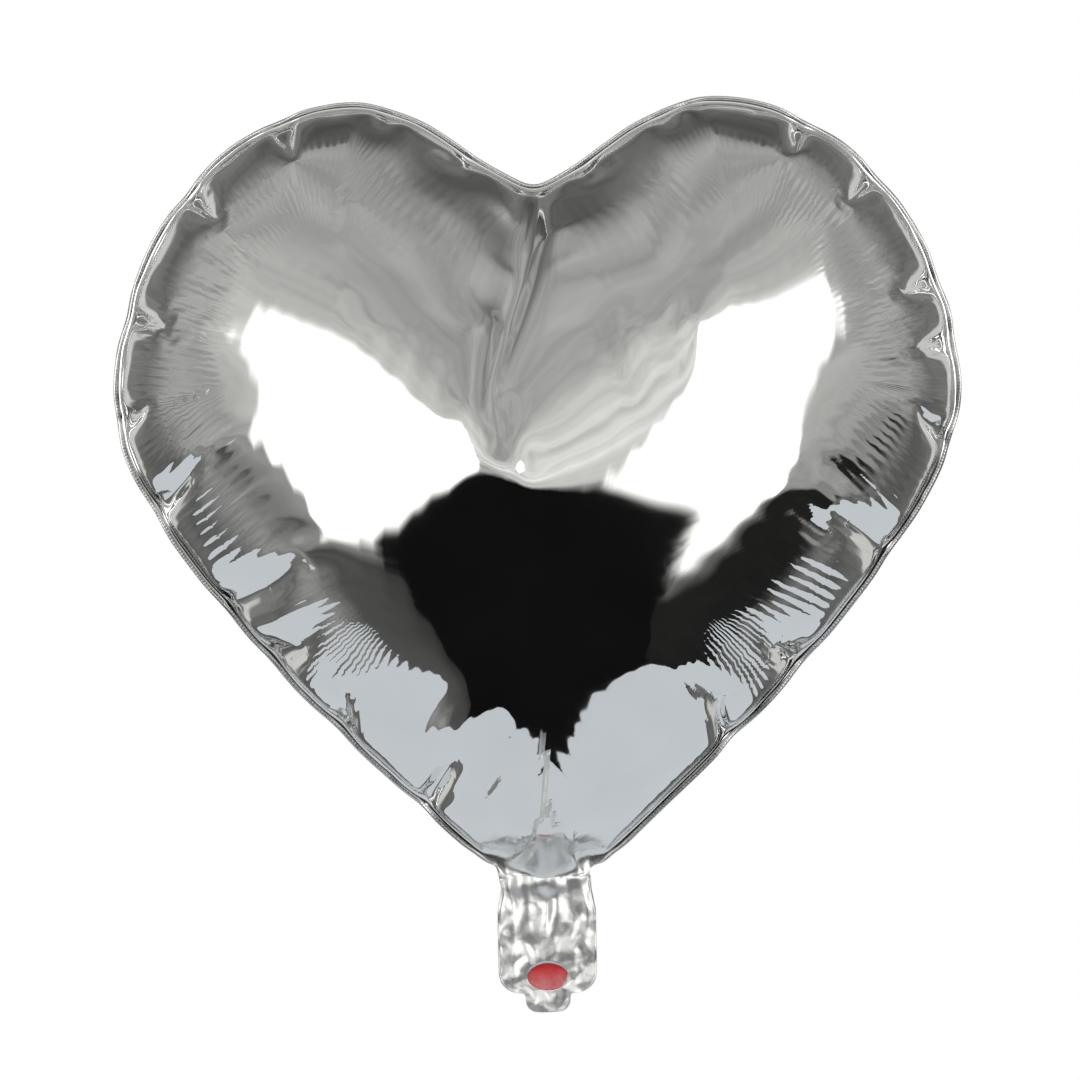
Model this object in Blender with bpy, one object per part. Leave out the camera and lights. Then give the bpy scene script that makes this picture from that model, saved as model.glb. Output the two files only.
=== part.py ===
"""Heart-shaped foil balloon with a self-sealing valve in its tail.

Two sheets of metallised film are sealed together round a heart-shaped edge and filled with gas. Their tail, below the
neck, holds a flat valve: two plies of thin film that the gas inside presses shut. A hole through the tail's front
sheet and the valve's front ply shows the red print that keeps the plies from sticking, and takes the nozzle that fills
the balloon. Below the neck everything is flat and limp, and folds about one line across the neck.

Metres, +Z up, front towards -Y. The origin is the middle of the neck, on the fold line, where a ribbon is tied.
"""

import math

import bmesh
import bpy
import numpy as np
from mathutils import Vector
from mathutils.geometry import interpolate_bezier

# The filled heart, measured over its sealed edge
HEART_WIDTH = 0.360
HEART_DEPTH = 0.184
LOBE_TOP = 0.336  # height of the lobes above the fold line
LOBE_SPREAD = 0.152  # between the tops of the lobes
CLEFT_DROP = 0.037  # from the lobes' tops down to the cleft
WIDEST_HEIGHT = 0.210
HEART_CENTRE = 0.196  # height of the deepest point
EDGE_SEAL = 0.006  # width of the flat sealed edge

# The neck and the tail below it
NECK_WIDTH = 0.0375
TAIL_WIDTH = 0.0418
TAIL_SHOULDER = 0.009  # below the fold line, where the tail reaches its full width
TAIL_LENGTH = 0.044
TAIL_CORNER = 0.009
TONGUE_WIDTH = 0.019
TONGUE_LENGTH = 0.008
TONGUE_CORNER = 0.005
TAIL_SEAL_WIDTH = 0.005

# The valve and the hole that fills it
VALVE_WIDTH = 0.022
VALVE_INSIDE = 0.075  # length inside the heart, above the fold line
VALVE_SEAL_WIDTH = 0.0015
FILL_HOLE_WIDTH = 0.0176
FILL_HOLE_HEIGHT = 0.0116
FILL_HOLE_DROP = 0.0370  # from the fold line down to the hole's middle
PRINT_MARGIN = 0.0012  # the print is this much larger than the hole, all round

# Thicknesses, front to back
FOIL = 0.0004
FILM = 0.00025
PRINT = 0.0001
CLEARANCE = 0.0003  # between faces that touch on the real balloon
FOLD_ROOM = 0.0025  # from the fold line to the edge of each sheet that it parts
SEAL_INSET = 0.001  # from the edge of a sheet, and from the seal's inner line, to the seal

# How finely round shapes are divided
CLEFT_STEPS = 8
LOBE_STEPS = 12
FLANK_STEPS = 14
NECK_STEPS = 6
DOME_RINGS = 9
CORNER_STEPS = 4
OVAL_STEPS = 24

# The stack at the neck and in the tail: how far each layer's inner face lies from the middle plane
FILM_FACE = PRINT / 2 + CLEARANCE
FOIL_FACE = FILM_FACE + FILM + CLEARANCE
SEAL_FACE = FOIL_FACE - CLEARANCE
OUTER_FACE = FOIL_FACE + FOIL

FRONT = -1
BACK = 1
SMOOTH_ANGLE = math.radians(50)


# ---------------------------------------------------------------- scene and materials


def clear_scene():
    for old in list(bpy.data.objects):
        bpy.data.objects.remove(old)


def make_material(name, colour, metallic, roughness):
    material = bpy.data.materials.new(name)
    material.use_nodes = True
    shader = material.node_tree.nodes["Principled BSDF"]
    shader.inputs["Base Color"].default_value = (*colour, 1.0)
    shader.inputs["Metallic"].default_value = metallic
    shader.inputs["Roughness"].default_value = roughness
    return material


def add_body(name):
    """An empty that carries one rigid group. Both groups stand at the origin, which is on the fold line."""
    body = bpy.data.objects.new(name, None)
    bpy.context.scene.collection.objects.link(body)
    return body


def add_part(name, bm, material, body):
    """The bmesh as a named object of that group."""
    mesh = bpy.data.meshes.new(name)
    bm.to_mesh(mesh)
    bm.free()
    mesh.shade_smooth()
    mesh.set_sharp_from_angle(angle=SMOOTH_ANGLE)
    mesh.materials.append(material)
    part = bpy.data.objects.new(name, mesh)
    bpy.context.scene.collection.objects.link(part)
    part.parent = body
    return part


# ---------------------------------------------------------------- outlines, as (x, z) points


def bezier(start, start_handle, end_handle, end, steps):
    """Points along one Bezier stretch, without its last point."""
    knots = [Vector((x, 0, z)) for x, z in (start, start_handle, end_handle, end)]
    return [Vector((p.x, p.z)) for p in interpolate_bezier(*knots, steps + 1)[:-1]]


def mirrored(points):
    """The points on the other side of the middle, in the opposite order."""
    return [Vector((-p.x, p.y)) for p in reversed(points)]


def heart_flanks():
    """The heart's open edge, from one side of the neck over both lobes to the other side."""
    half_width = HEART_WIDTH / 2
    half_neck = NECK_WIDTH / 2
    lobe_x = LOBE_SPREAD / 2
    cleft_z = LOBE_TOP - CLEFT_DROP
    shoulder_x = half_width - lobe_x
    shoulder_z = LOBE_TOP - WIDEST_HEIGHT
    flank_z = WIDEST_HEIGHT - FOLD_ROOM
    right = bezier(
        (0, cleft_z),
        (0.45 * lobe_x, cleft_z + 0.45 * CLEFT_DROP),
        (0.65 * lobe_x, LOBE_TOP),
        (lobe_x, LOBE_TOP),
        CLEFT_STEPS,
    )
    right += bezier(
        (lobe_x, LOBE_TOP),
        (lobe_x + 0.56 * shoulder_x, LOBE_TOP),
        (half_width, WIDEST_HEIGHT + 0.52 * shoulder_z),
        (half_width, WIDEST_HEIGHT),
        LOBE_STEPS,
    )
    right += bezier(
        (half_width, WIDEST_HEIGHT),
        (half_width, WIDEST_HEIGHT - 0.34 * flank_z),
        (half_neck + 0.04 * half_width, FOLD_ROOM + 0.06 * flank_z),
        (half_neck, FOLD_ROOM),
        FLANK_STEPS,
    )
    right.append(Vector((half_neck, FOLD_ROOM)))
    return mirrored(right[1:]) + right


def heart_outline():
    """The heart's whole edge: the flanks, closed by the straight edge at the neck."""
    half_neck = NECK_WIDTH / 2
    neck = [
        Vector((half_neck * (1 - 2 * step / NECK_STEPS), FOLD_ROOM))
        for step in range(1, NECK_STEPS)
    ]
    return heart_flanks() + neck


def inset(outline, distance):
    """A closed clockwise outline moved inwards, each corner along the line that halves it."""
    moved = []
    for before, here, after in zip(outline[-1:] + outline[:-1], outline, outline[1:] + outline[:1]):
        arriving = (here - before).normalized()
        leaving = (after - here).normalized()
        inwards = Vector((arriving.y, -arriving.x))
        halfway = (inwards + Vector((leaving.y, -leaving.x))).normalized()
        moved.append(here + halfway * distance / halfway.dot(inwards))
    return moved


def rounded_corner(corner_x, corner_z, radius):
    """A quarter circle in a lower right corner, from its side down to its foot."""
    angles = [-math.pi / 2 * step / CORNER_STEPS for step in range(CORNER_STEPS + 1)]
    return [
        Vector((corner_x - radius + radius * math.cos(a), corner_z + radius + radius * math.sin(a)))
        for a in angles
    ]


def tail_outline():
    """The tail's edge below the fold line: shoulders, rounded lower corners and a tongue in the middle."""
    tongue_half = TONGUE_WIDTH / 2
    right = [Vector((NECK_WIDTH / 2, -FOLD_ROOM)), Vector((TAIL_WIDTH / 2, -TAIL_SHOULDER))]
    right += rounded_corner(TAIL_WIDTH / 2, -TAIL_LENGTH, TAIL_CORNER)
    right.append(Vector((tongue_half, -TAIL_LENGTH)))
    right += rounded_corner(tongue_half, -TAIL_LENGTH - TONGUE_LENGTH, TONGUE_CORNER)
    return right + mirrored(right)


def valve_mouth_outline():
    """The valve's plies below the fold line: straight sides, and a rounded end inside the tongue."""
    end_half = TONGUE_WIDTH / 2 - SEAL_INSET
    right = [
        Vector((VALVE_WIDTH / 2, -FOLD_ROOM)),
        Vector((VALVE_WIDTH / 2, SEAL_INSET - TAIL_LENGTH)),
        Vector((end_half, SEAL_INSET - TAIL_LENGTH)),
    ]
    right += rounded_corner(end_half, SEAL_INSET - TAIL_LENGTH - TONGUE_LENGTH, TONGUE_CORNER - SEAL_INSET)
    return right + mirrored(right)


def rectangle(left, right, bottom, top):
    return [Vector(p) for p in ((left, top), (right, top), (right, bottom), (left, bottom))]


def oval(width, height, centre_z):
    angles = [2 * math.pi * step / OVAL_STEPS for step in range(OVAL_STEPS)]
    return [Vector((width / 2 * math.cos(a), centre_z + height / 2 * math.sin(a))) for a in angles]


# ---------------------------------------------------------------- solids


def flat_sheet(outline, face, thickness, side):
    """A flat sheet of this outline, from one face's distance to the middle plane outwards to the front or back."""
    bm = bmesh.new()
    near = bm.faces.new([bm.verts.new((p.x, side * face, p.y)) for p in outline])
    extruded = bmesh.ops.extrude_face_region(bm, geom=[near])["geom"]
    far = [item for item in extruded if isinstance(item, bmesh.types.BMVert)]
    bmesh.ops.translate(bm, verts=far, vec=(0, side * thickness, 0))
    bmesh.ops.recalc_face_normals(bm, faces=bm.faces)
    return bm


def centred_sheet(outline, half_thickness):
    return flat_sheet(outline, -half_thickness, 2 * half_thickness, BACK)


def cut_fill_hole(sheet):
    """Cuts the oval fill hole through a sheet of the tail."""
    cutter = add_part(
        sheet.name + "_cutter",
        centred_sheet(oval(FILL_HOLE_WIDTH, FILL_HOLE_HEIGHT, -FILL_HOLE_DROP), 4 * OUTER_FACE),
        sheet.data.materials[0],
        sheet.parent,
    )
    cutter.hide_render = True
    cutter.display_type = "WIRE"
    hole = sheet.modifiers.new("fill_hole", "BOOLEAN")
    hole.operation = "DIFFERENCE"
    hole.object = cutter


def bulge(samples=400):
    """How a film disc swells under gas, as (shares of its radius, shares of its depth there), from rim to middle.

    Film can't stretch, so the slope at a share t of the radius is t^2 / sqrt(1 - t^4). With t^2 as the sine of an angle,
    the depth is half the sum of sqrt(sine) over that angle, which runs evenly from the rim to the middle.
    """
    sines = np.sin(np.linspace(math.pi / 2, 0, samples + 1))
    slices = np.sqrt(sines[1:]) + np.sqrt(sines[:-1])
    depth = np.concatenate([[0], np.cumsum(slices)])
    return np.sqrt(sines), depth / depth[-1]


def heart_half(side):
    """One half of the filled heart as a bare surface: the flat sealed edge, then rings that climb to the middle."""
    outline = heart_outline()
    seal_line = inset(outline, EDGE_SEAL)
    centre = Vector((0, HEART_CENTRE))
    dome_height = HEART_DEPTH / 2 - OUTER_FACE
    radii, heights = bulge()
    loops = [(outline, 0), (seal_line, 0)]
    for ring in range(1, DOME_RINGS):
        at = round((len(radii) - 1) * ring / DOME_RINGS)
        loops.append(([centre.lerp(p, radii[at]) for p in seal_line], dome_height * heights[at]))

    bm = bmesh.new()
    last_edges = []
    for points, height in loops:
        verts = [bm.verts.new((p.x, side * (FOIL_FACE + height), p.y)) for p in points]
        edges = [bm.edges.new(pair) for pair in zip(verts, verts[1:] + verts[:1])]
        if last_edges:
            bmesh.ops.bridge_loops(bm, edges=last_edges + edges)
        last_edges = edges
    cap = bmesh.ops.poke(bm, faces=[bm.faces.new(verts)])
    cap["verts"][0].co = (centre.x, side * (FOIL_FACE + dome_height), centre.y)
    bmesh.ops.recalc_face_normals(bm, faces=bm.faces)
    bm.normal_update()
    if cap["faces"][0].normal.y * side < 0:
        bmesh.ops.reverse_faces(bm, faces=bm.faces)
    return bm


# ---------------------------------------------------------------- sub-parts


def build_heart_foils(materials, heart):
    """The two dished sheets, each with its flat sealed edge."""
    for side, name in ((FRONT, "front_foil"), (BACK, "back_foil")):
        foil = add_part(name, heart_half(side), materials["foil"], heart)
        thickness = foil.modifiers.new("foil_thickness", "SOLIDIFY")
        thickness.thickness = FOIL
        thickness.offset = 1
        thickness.use_even_offset = True


def build_edge_seal(materials, heart):
    """The melted band between the two sheets, all round the heart's edge but not across the neck."""
    outline = heart_outline()
    flank_count = len(heart_flanks())
    outer = inset(outline, SEAL_INSET)[:flank_count]
    inner = inset(outline, EDGE_SEAL - SEAL_INSET)[:flank_count]
    bm = bmesh.new()
    edges = []
    for points in (outer, inner):
        verts = [bm.verts.new((p.x, -SEAL_FACE, p.y)) for p in points]
        edges += [bm.edges.new(pair) for pair in zip(verts, verts[1:])]
    band = bmesh.ops.bridge_loops(bm, edges=edges)["faces"]
    extruded = bmesh.ops.extrude_face_region(bm, geom=band)["geom"]
    back = [item for item in extruded if isinstance(item, bmesh.types.BMVert)]
    bmesh.ops.translate(bm, verts=back, vec=(0, 2 * SEAL_FACE, 0))
    bmesh.ops.recalc_face_normals(bm, faces=bm.faces)
    add_part("edge_seal", bm, materials["seal"], heart)


def build_inner_valve(materials, heart):
    """The valve's plies where they hang free inside the heart, and the seals that make a channel between them."""
    half = VALVE_WIDTH / 2
    ply = rectangle(-half, half, FOLD_ROOM, VALVE_INSIDE)
    for side, name in ((FRONT, "inner_valve_front_ply"), (BACK, "inner_valve_back_ply")):
        add_part(name, flat_sheet(ply, FILM_FACE, FILM, side), materials["film"], heart)
    add_channel_seals("inner_valve_seal", FOLD_ROOM, VALVE_INSIDE, materials, heart)


def add_channel_seals(name, bottom, top, materials, body):
    """A narrow melted strip along each side of the valve's plies, between them."""
    outer = VALVE_WIDTH / 2 - SEAL_INSET
    inner = outer - VALVE_SEAL_WIDTH
    for place, left, right in (("left", -outer, -inner), ("right", inner, outer)):
        strip = rectangle(left, right, bottom, top)
        add_part(f"{name}_{place}", centred_sheet(strip, PRINT / 2), materials["film"], body)


def build_tail_foils(materials, tail):
    """The tail's two sheets. The front one has the fill hole."""
    outline = tail_outline()
    front = add_part("tail_front_foil", flat_sheet(outline, FOIL_FACE, FOIL, FRONT), materials["foil"], tail)
    cut_fill_hole(front)
    add_part("tail_back_foil", flat_sheet(outline, FOIL_FACE, FOIL, BACK), materials["foil"], tail)


def build_tail_seals(materials, tail):
    """The melted band between the tail's sheets, down each long side."""
    outer = TAIL_WIDTH / 2 - SEAL_INSET
    inner = outer - TAIL_SEAL_WIDTH + SEAL_INSET
    top = -TAIL_SHOULDER
    bottom = TAIL_CORNER - TAIL_LENGTH
    for place, left, right in (("left", -outer, -inner), ("right", inner, outer)):
        strip = rectangle(left, right, bottom, top)
        add_part(f"tail_seal_{place}", centred_sheet(strip, SEAL_FACE), materials["seal"], tail)


def build_valve_mouth(materials, tail):
    """The valve's plies in the tail. The fill hole runs through the front one, to the red print on the back one."""
    outline = valve_mouth_outline()
    front = add_part("valve_front_ply", flat_sheet(outline, FILM_FACE, FILM, FRONT), materials["film"], tail)
    cut_fill_hole(front)
    add_part("valve_back_ply", flat_sheet(outline, FILM_FACE, FILM, BACK), materials["film"], tail)
    print_outline = oval(
        FILL_HOLE_WIDTH + 2 * PRINT_MARGIN, FILL_HOLE_HEIGHT + 2 * PRINT_MARGIN, -FILL_HOLE_DROP
    )
    add_part("valve_red_print", centred_sheet(print_outline, PRINT / 2), materials["print"], tail)
    hole_top = -FILL_HOLE_DROP + FILL_HOLE_HEIGHT / 2 + PRINT_MARGIN
    add_channel_seals("valve_seal", hole_top + CLEARANCE, -FOLD_ROOM, materials, tail)


def main():
    clear_scene()
    materials = {
        "foil": make_material("silver_foil", (0.86, 0.87, 0.88), 1.0, 0.08),
        "seal": make_material("heat_seal", (0.72, 0.74, 0.75), 1.0, 0.25),
        "film": make_material("valve_film", (0.85, 0.85, 0.83), 0.0, 0.3),
        "print": make_material("red_print", (0.72, 0.03, 0.04), 0.0, 0.35),
    }
    heart = add_body("heart")
    tail = add_body("tail")
    build_heart_foils(materials, heart)
    build_edge_seal(materials, heart)
    build_inner_valve(materials, heart)
    build_tail_foils(materials, tail)
    build_tail_seals(materials, tail)
    build_valve_mouth(materials, tail)


main()
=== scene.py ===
"""Finished look of a heart-shaped silver foil balloon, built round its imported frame.

Two flat heart-shaped sheets of metallised film are laid together, sealed round their edge and blown up
by a cloth simulation, which puckers the foil along the seal. The tail below the neck is the same film,
left flat and crumpled, and holds the valve: two plies of clear film with a red print between them, seen
through the fill hole.

Metres, +Z up, front towards -Y. The origin is the middle of the neck, where the tail folds.
"""

import math

import bmesh
import bpy
import numpy as np
from bpy.props import FloatProperty, FloatVectorProperty, IntProperty, PointerProperty
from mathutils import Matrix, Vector
from mathutils.geometry import interpolate_bezier


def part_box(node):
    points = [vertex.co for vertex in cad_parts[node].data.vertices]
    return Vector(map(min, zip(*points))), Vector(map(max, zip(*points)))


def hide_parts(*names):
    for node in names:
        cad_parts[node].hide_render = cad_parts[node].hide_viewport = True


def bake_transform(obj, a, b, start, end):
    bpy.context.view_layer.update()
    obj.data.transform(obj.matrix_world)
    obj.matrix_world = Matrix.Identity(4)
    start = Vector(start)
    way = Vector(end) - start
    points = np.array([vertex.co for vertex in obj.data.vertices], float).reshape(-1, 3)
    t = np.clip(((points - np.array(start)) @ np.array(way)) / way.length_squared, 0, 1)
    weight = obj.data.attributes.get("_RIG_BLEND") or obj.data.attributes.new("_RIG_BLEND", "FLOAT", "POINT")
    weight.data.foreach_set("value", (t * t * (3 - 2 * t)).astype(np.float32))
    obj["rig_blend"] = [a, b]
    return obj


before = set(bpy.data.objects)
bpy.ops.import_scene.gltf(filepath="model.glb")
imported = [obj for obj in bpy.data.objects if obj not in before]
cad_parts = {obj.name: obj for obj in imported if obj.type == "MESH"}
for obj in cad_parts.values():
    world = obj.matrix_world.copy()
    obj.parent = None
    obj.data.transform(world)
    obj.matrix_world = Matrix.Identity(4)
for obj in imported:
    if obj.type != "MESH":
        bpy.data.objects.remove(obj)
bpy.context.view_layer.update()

bl_info = {
    "name": "Heart foil balloon",
    "version": (1, 0, 0),
    "blender": (4, 5, 0),
    "location": "View3D > Sidebar > Foil balloon",
    "description": "Seals and inflates a heart-shaped foil balloon with a self-sealing valve in its tail",
    "category": "Object",
}

# Sizes taken from the frame
HEART_LOW, HEART_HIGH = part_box("front_foil")
BACK_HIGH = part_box("back_foil")[1]
TAIL_LOW, TAIL_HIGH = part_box("tail_front_foil")
PRINT_LOW, PRINT_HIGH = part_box("valve_red_print")
PLY_LOW, PLY_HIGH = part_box("valve_front_ply")
INNER_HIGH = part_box("inner_valve_front_ply")[1]
HALF_WIDTH = HEART_HIGH.x
LOBE_TOP = HEART_HIGH.z
NECK_EDGE = HEART_LOW.z  # height of the heart's straight lower edge
HALF_TAIL = TAIL_HIGH.x
PLY_INSET = PLY_LOW.z - TAIL_LOW.z  # from the tail's edge to the valve's

# Which sheet a point or a face of the envelope belongs to
SEAM = 0
FRONT = 1
BACK = 2
RIM = 3
RIM_EDGE = 4
TAIL = 5
TAIL_EDGE = 6

SIDES = {FRONT: -1, BACK: 1}
NAMES = {FRONT: "front", BACK: "back"}

# How finely the envelope is divided
FLANK_STEPS = 308
NECK_STEPS = 12
RIM_STEPS = 2
SEAM_RINGS = 10
RELAX_ROUNDS = 60
TAIL_STEPS = 96
TAIL_RINGS = 14
CURVE_STEPS = 80

# Where the main creases start, as shares of the way up each flank, and their size
LEFT_PUCKERS = (0.02, 0.09, 0.18, 0.26, 0.31, 0.41, 0.49, 0.57, 0.68, 0.78, 0.87, 0.95)
RIGHT_PUCKERS = (0.015, 0.16, 0.25, 0.36, 0.46, 0.54, 0.59, 0.69, 0.76, 0.88, 0.96)
PUCKER_WIDTH = 0.006
PUCKER_REACH = 0.035
PUCKER_LEAD = 0.01  # outside the start of a crease, within which it still counts
LEAST_OPENING = 0.03  # of the seeded distance between the sheets, left on a crease
FLANK_GAIN_SPAN = 0.045  # above and below its height, over which a flank's extra width dies out

# How the foil is simulated: the cloth solver is steady at ten times the size
SOLVER_SCALE = 10
GAS_LEVELS = 10  # steps in which the pressure rises over the throat
THROAT_LENGTH = 0.030  # above the neck, over which the gas comes to its full pressure
FILM_CLOTH = {
    "quality": 6,
    "mass": 0.02,
    "air_damping": 1.5,
    "tension_stiffness": 120,
    "compression_stiffness": 120,
    "shear_stiffness": 60,
    "bending_stiffness": 0.5,
    "tension_damping": 20,
    "compression_damping": 20,
    "shear_damping": 10,
    "bending_damping": 2,
}

# How the simulated foil is fitted to the frame
POINTS_AT_ONCE = 2000  # compared with the seam in one go, to save memory
SEAM_SHARES = 33  # places between one seam point and its neighbours that are tried as the nearest
BLUR_ROUNDS = 60
SCALLOP_SHARE = 0.14  # how much of the simulated scallops' depth is kept in the outline
FLAT_THROAT = 0.026  # above the neck, over which the sheets lie down to the tail
THROAT_CURVE = 0.008  # how much higher the foil starts to swell at the ends of the neck
TUCK_REACH = 0.05  # inside the seam, where foil that bulges out past it is tucked back
TUCK_WALL = 0.003  # width of the steep wall that the tucked foil makes beside the seam
TUCK_SEARCH = 12  # seam points to each side that are tried as the nearest to a bulge
RIM_WAVE = 0.35  # how much of the seam's simulated waves forward and back is kept
RIM_FLUTTER = 0.3  # how much of the rim's own waves outside the seam is kept
RIM_CALM_REACH = 0.015  # inside the seam, over which calming its waves dies out
CLEFT_DENTS_FROM = 0.010  # from the middle, where the ironing beside the cleft's crease starts
CLEFT_DENTS_TO = 0.075
CLEFT_DENTS_FOOT = 0.240
CLEFT_DENTS_DEPTH = 0.012  # in front of or behind the seam's plane
IRON_ROUNDS = 24
APEX = (0.002, 0.180)  # where the creases of the cleft run together, as (x, z)
APEX_REACH = 0.11
APEX_SHIFT = (-0.004, 0.0, -0.018)

# The limp neck and tail, and the layers in them
CRUMPLE_FOLDS = 7
FINEST_FOLD = 0.0065  # pitch of the finest crumples
FOLD_GROWTH = 0.0016  # by which each set of folds is coarser than the one before
FOLD_TURN = 2.4  # radians from one set of folds to the next
CRUMPLE_TOP = 0.034  # height at which the last crumples die out
GATHER_PITCH = 0.0125
GATHER_REACH = 0.017  # above and below the neck, over which its gathers die out
CREASE_WIDTH = 0.0013
CREASE_REACH = 0.013  # above and below the neck, for its middle crease
FOLD_REACH = 0.006  # above and below the fold line, over which the films bend
RIM_GAP = 0.00012  # from the middle surface to the middle of each foil, along the rim
RIM_GAP_REACH = 0.004
FOIL_GAP = 0.0006  # the same where the valve lies between the foils
PLY_GAP = 0.0003  # from the middle surface to the middle of each ply
PRINT_FILM = 0.00012
WELD_SPACE = 0.0001  # left between a weld and the plies
VALVE_MARGIN = 0.006  # beside the valve, over which the foils close again
NECK_SWELL = 0.0022  # how far each foil swells at the middle of the neck
SWELL_LENGTH = 0.010  # below the neck, over which that swelling dies out
PLY_TOP_STEPS = 12
PLY_STEPS = 64
PLY_RINGS = 10
PLY_LENGTH_STEPS = 20
PRINT_STEPS = 48
STRIP_STEPS = 60

# The fine ripples that run in from the seal, and the seal's own ribs
RIPPLE_PITCH = 0.0046
RIB_PITCH = 0.0016  # of the fine ribs across the seals
RIPPLE_RISE = (0.016, 0.036)  # inside the seam, over which they come to their full depth
RIPPLE_END = 0.048  # inside the seam, where they start to die out
LOW_RIPPLE_REACH = 0.014  # by which they reach further in low on the flanks
RIPPLE_FADE = 0.030
LOW_FLANK = (0.10, 0.17)  # heights between which a flank counts less and less as low
CALM_LOBES = 0.23  # above this height the ripples grow faint

# The floor that the foil reflects
FLOOR_RADIUS = 2.1
FLOOR_SHIFT = 0.85  # of its middle behind the balloon


# ---------------------------------------------------------------- sizes and colours that a user would change


def length(name, default, description):
    return FloatProperty(name=name, description=description, default=default, unit="LENGTH", precision=5)


class BalloonPattern(bpy.types.PropertyGroup):
    """The cut of the foil."""

    lobe_spread: length("Lobe spread", 0.152, "Distance between the tops of the lobes")
    cleft_drop: length("Cleft drop", 0.037, "From the tops of the lobes down to the cleft")
    widest_height: length("Widest height", 0.210, "Height of the widest place above the neck")
    neck_width: length("Neck width", 0.0375, "Width of the flat neck")
    seal_width: length("Seal width", 0.0038, "Width of the sealed rim")
    tail_shoulder: length("Tail shoulder", 0.009, "Where the tail reaches its full width, below the neck")
    tail_corner: length("Tail corner", 0.009, "Radius of the tail's lower corners")
    tongue_width: length("Tongue width", 0.019, "Width of the tongue below the tail")
    tongue_length: length("Tongue length", 0.008, "How far the tongue reaches below the tail")
    tongue_corner: length("Tongue corner", 0.005, "Radius of the tongue's corners")
    hole_width: length("Fill hole width", 0.0176, "Width of the oval hole that takes the nozzle")
    hole_height: length("Fill hole height", 0.0116, "Height of the oval hole that takes the nozzle")
    film: length("Foil", 0.00016, "Thickness of the metallised film")
    ply: length("Valve film", 0.0001, "Thickness of each ply of the valve")


class BalloonInflation(bpy.types.PropertyGroup):
    """How the flat sheets are blown up."""

    width_gain: FloatProperty(name="Width gain", description="Flat width over filled width", default=1.19)
    height_gain: FloatProperty(name="Height gain", description="Flat height over filled height", default=1.12)
    flank_gain: length("Flank gain", 0.024, "Extra flat width low on the flanks, which draw in most")
    flank_height: length("Flank height", 0.073, "Height of that extra width")
    pressure: FloatProperty(name="Pressure", description="Gas pressure in the simulation", default=20.0)
    pucker_seed: length("Pucker seed", 0.007, "How far the sheets stand apart at first between the puckers")
    frames: IntProperty(name="Frames", description="Length of the simulation", default=30, min=2)


class BalloonFinish(bpy.types.PropertyGroup):
    """The colours and the surface of the films."""

    foil: FloatVectorProperty(
        name="Foil", description="Colour of the foil", subtype="COLOR", default=(0.90, 0.905, 0.91)
    )
    ink: FloatVectorProperty(
        name="Print", description="Colour of the valve's print", subtype="COLOR", default=(0.52, 0.006, 0.010)
    )
    film: FloatVectorProperty(
        name="Valve film", description="Colour of its film", subtype="COLOR", default=(0.80, 0.81, 0.80)
    )
    gloss: FloatProperty(name="Foil roughness", description="Roughness of the smooth foil", default=0.035)
    ripple: length("Ripple depth", 0.0002, "Depth of the fine ripples that run in from the seal")
    crumple: length("Crumple depth", 0.0009, "Depth of the crumples in the tail")


class BalloonStudio(bpy.types.PropertyGroup):
    """The room that the foil reflects."""

    floor_drop: length("Floor drop", 1.15, "Height of the neck above the floor")
    distance: length("Camera distance", 1.9, "From the camera to the balloon")
    view_width: length("View width", 0.4595, "Width of the view at the balloon")
    view_height: length("View height", 0.1488, "Height of the camera above the neck")
    view_tilt: FloatProperty(
        name="View tilt", description="Turn of the camera about its own axis", default=0.018, subtype="ANGLE"
    )


# ---------------------------------------------------------------- outlines, as rows of (x, z)


def bezier(start, start_handle, end_handle, end, steps=CURVE_STEPS):
    """Points along one Bezier stretch, without its last point."""
    knots = [Vector((x, 0.0, z)) for x, z in (start, start_handle, end_handle, end)]
    return [(point.x, point.z) for point in interpolate_bezier(*knots, steps + 1)[:-1]]


def evenly(points, count):
    """Count points, evenly spaced along an open line, with both of its ends."""
    points = np.array(points)
    travelled = np.concatenate([[0.0], np.cumsum(np.linalg.norm(np.diff(points, axis=0), axis=1))])
    stations = np.linspace(0.0, travelled[-1], count)
    return np.column_stack([np.interp(stations, travelled, points[:, axis]) for axis in (0, 1)])


def right_flank(pattern):
    """The heart's edge from the cleft over the right lobe to the neck, as three curved stretches."""
    half_neck = pattern.neck_width / 2
    lobe_x = pattern.lobe_spread / 2
    cleft_z = LOBE_TOP - pattern.cleft_drop
    shoulder_x = HALF_WIDTH - lobe_x
    shoulder_z = LOBE_TOP - pattern.widest_height
    flank_z = pattern.widest_height - NECK_EDGE
    edge = bezier(
        (0.0, cleft_z),
        (0.45 * lobe_x, cleft_z + 0.45 * pattern.cleft_drop),
        (0.65 * lobe_x, LOBE_TOP),
        (lobe_x, LOBE_TOP),
    )
    edge += bezier(
        (lobe_x, LOBE_TOP),
        (lobe_x + 0.56 * shoulder_x, LOBE_TOP),
        (HALF_WIDTH, pattern.widest_height + 0.52 * shoulder_z),
        (HALF_WIDTH, pattern.widest_height),
    )
    edge += bezier(
        (HALF_WIDTH, pattern.widest_height),
        (HALF_WIDTH, pattern.widest_height - 0.34 * flank_z),
        (half_neck + 0.04 * HALF_WIDTH, NECK_EDGE + 0.06 * flank_z),
        (half_neck, NECK_EDGE),
    )
    return np.array(edge + [(half_neck, NECK_EDGE)])


def heart_edge(pattern):
    """The filled heart's closed edge: left flank, right flank, then the neck from right to left."""
    right = right_flank(pattern)
    left = (right * (-1, 1))[::-1]
    flanks = evenly(np.vstack([left, right[1:]]), FLANK_STEPS + 1)
    neck = evenly([flanks[-1], flanks[0]], NECK_STEPS + 1)
    return np.vstack([flanks, neck[1:-1]])


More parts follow.
